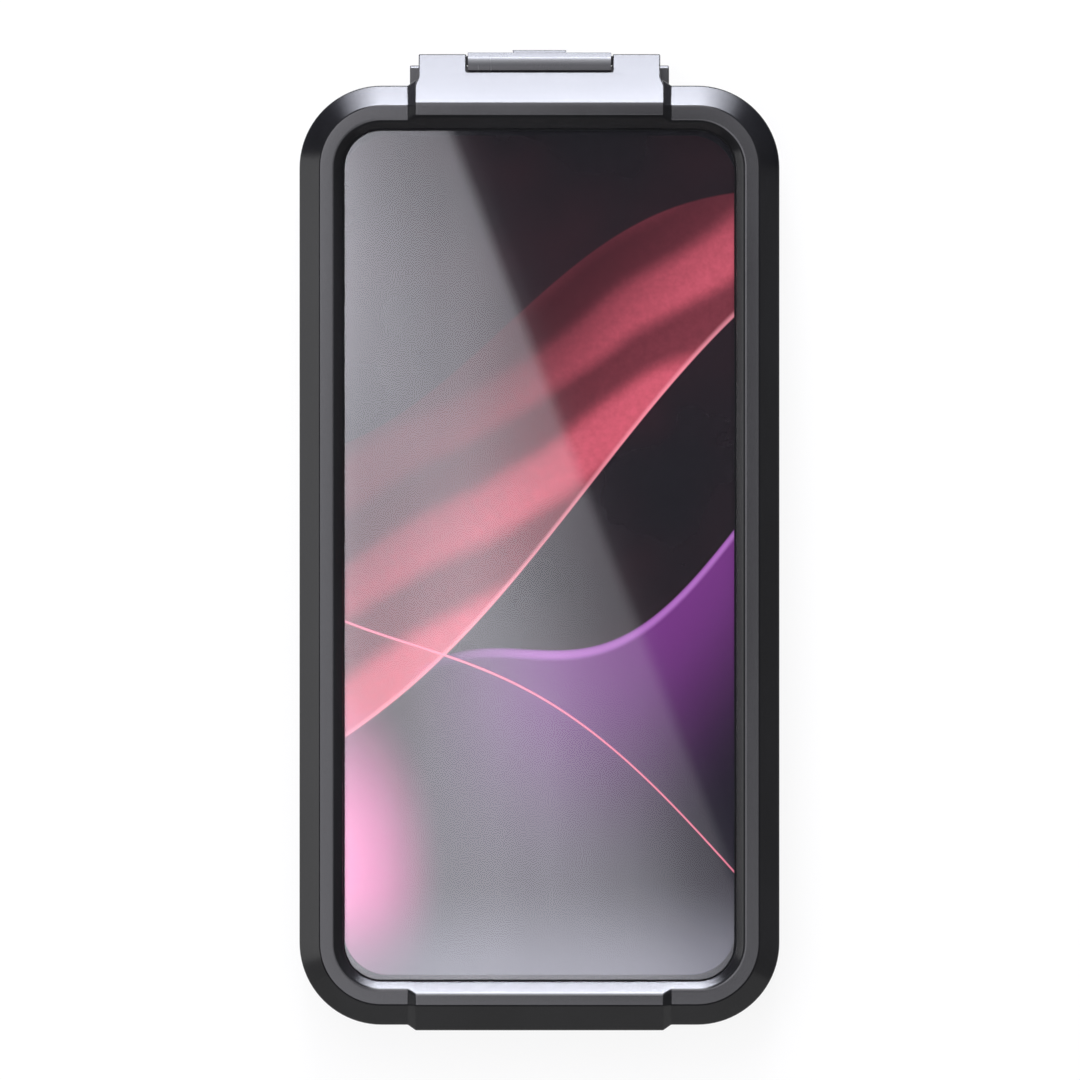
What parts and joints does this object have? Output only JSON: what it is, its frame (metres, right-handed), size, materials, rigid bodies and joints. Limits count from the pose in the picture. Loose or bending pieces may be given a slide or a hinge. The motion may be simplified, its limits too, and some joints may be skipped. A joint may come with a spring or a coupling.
{
  "type": "universal phone case",
  "caption": "Hinged weather-tight phone case: a tray and a front frame with a clear touch window, closed by a lever latch.",
  "frame": {"origin": "under the middle of the whole case, in the plane of the back that it lies on", "axes": "+X to the right of the window, +Y from the hinge end to the latch end, +Z out of the window"},
  "size_m": [0.09, 0.1838, 0.0224],
  "materials": {
    "shell_plastic": "satin, fine moulded grain",
    "latch_plastic": "satin",
    "clear_film": "clear, glossy",
    "clear_pane": "clear, glossy",
    "card": "coated, printed with plain colour bands",
    "seal_rubber": "matt",
    "pin_steel": "ground",
    "foam": "fine closed-cell foam"
  },
  "bodies": {
    "tray": {"rear_shell": "shell_plastic", "lid_seal": "seal_rubber", "latch_pin": "pin_steel", "hinge_pin": "pin_steel", "back_pad": "foam", "side_cushion_left": "foam", "side_cushion_right": "foam", "end_cushion_top": "foam", "end_cushion_bottom": "foam", "camera_seal": "seal_rubber", "camera_window": "clear_pane"},
    "lid": {"front_frame": "shell_plastic", "window_film": "clear_film", "window_retainer": "shell_plastic", "display_card": "card"},
    "latch": {"latch_lever": "latch_plastic"}
  },
  "joints": [
    {"name": "lid_hinge", "type": "hinge", "parent": "tray", "child": "lid", "pos_m": [0, -0.09005, 0.0115], "axis": [1, 0, 0], "range_deg": [0, 110]},
    {"name": "latch_pivot", "type": "hinge", "parent": "tray", "child": "latch", "pos_m": [0, 0.08705, 0.0044], "axis": [-1, 0, 0], "range_deg": [0, 80]}
  ]
}
